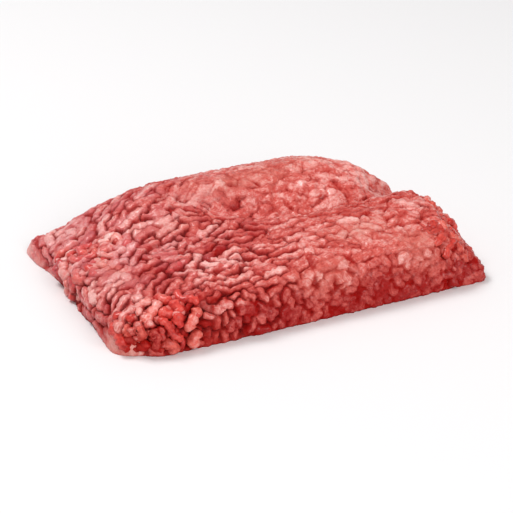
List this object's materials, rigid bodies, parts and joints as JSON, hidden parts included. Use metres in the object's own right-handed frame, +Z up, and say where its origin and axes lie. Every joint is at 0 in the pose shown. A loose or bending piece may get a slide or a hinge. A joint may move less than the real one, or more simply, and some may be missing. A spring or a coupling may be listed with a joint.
{
  "type": "minced beef slab",
  "caption": "Loose rectangular block of raw minced beef with rounded shoulders, two low swells on top and rows of short ground strands over its whole surface.",
  "frame": {"origin": "middle of the flat underside", "axes": "+X along the block's length towards its right end as seen from the long front side, +Y towards the back, +Z up"},
  "size_m": [0.2146, 0.1468, 0.0379],
  "materials": {
    "minced_beef": "moist, uneven raw meat"
  },
  "bodies": {
    "root": {"minced_beef": "minced_beef"}
  },
  "joints": []
}
